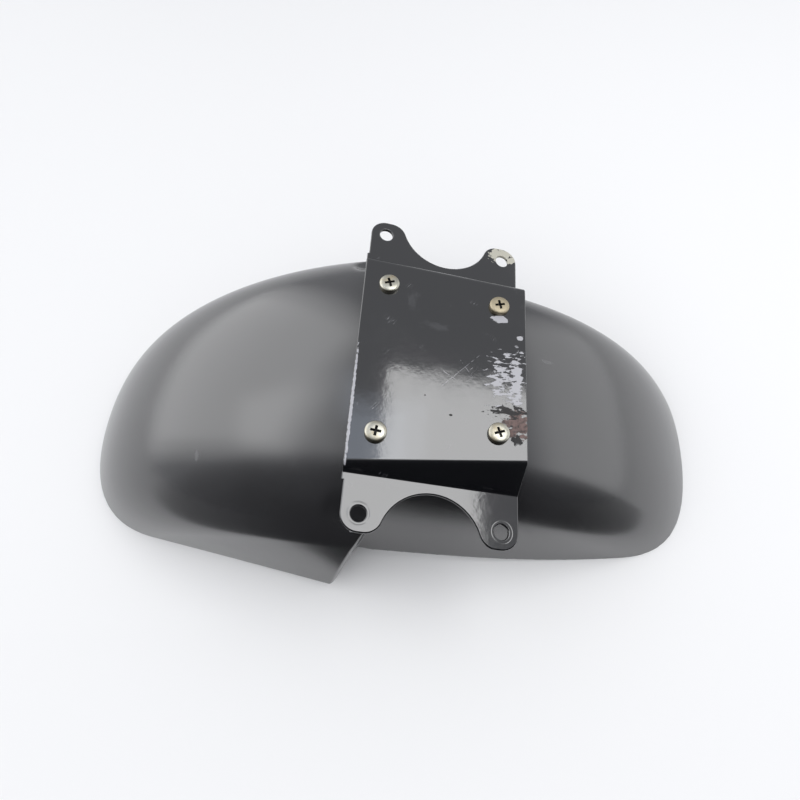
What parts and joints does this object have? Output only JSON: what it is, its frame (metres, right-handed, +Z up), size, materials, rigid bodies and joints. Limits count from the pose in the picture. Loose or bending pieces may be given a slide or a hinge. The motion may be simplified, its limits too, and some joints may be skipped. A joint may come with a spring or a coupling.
{
  "type": "motorcycle front mudguard",
  "caption": "Arched plastic front mudguard with a flared rear skirt and a folded metal fork bracket screwed to a raised seat on its crown.",
  "frame": {"origin": "on the surface that the rim's two ends rest on, at mid length and mid width", "axes": "+X towards the front of the mudguard, +Y to its left side as fitted, +Z up"},
  "size_m": [0.479, 0.241, 0.1499],
  "materials": {
    "shell_plastic": "semi-matte dark moulded plastic, lightly scuffed",
    "bracket_paint": "gloss black paint, chipped and rusty at the front edge",
    "screw_zinc": "dull yellowish zinc plate, speckled",
    "washer_steel": "dull zinc plate",
    "nut_steel": "dull zinc plate"
  },
  "bodies": {
    "root": {"mudguard_shell": "shell_plastic", "fork_bracket": "bracket_paint", "bracket_screws": "screw_zinc", "seat_washers": "washer_steel", "seat_nuts": "nut_steel"}
  },
  "joints": []
}
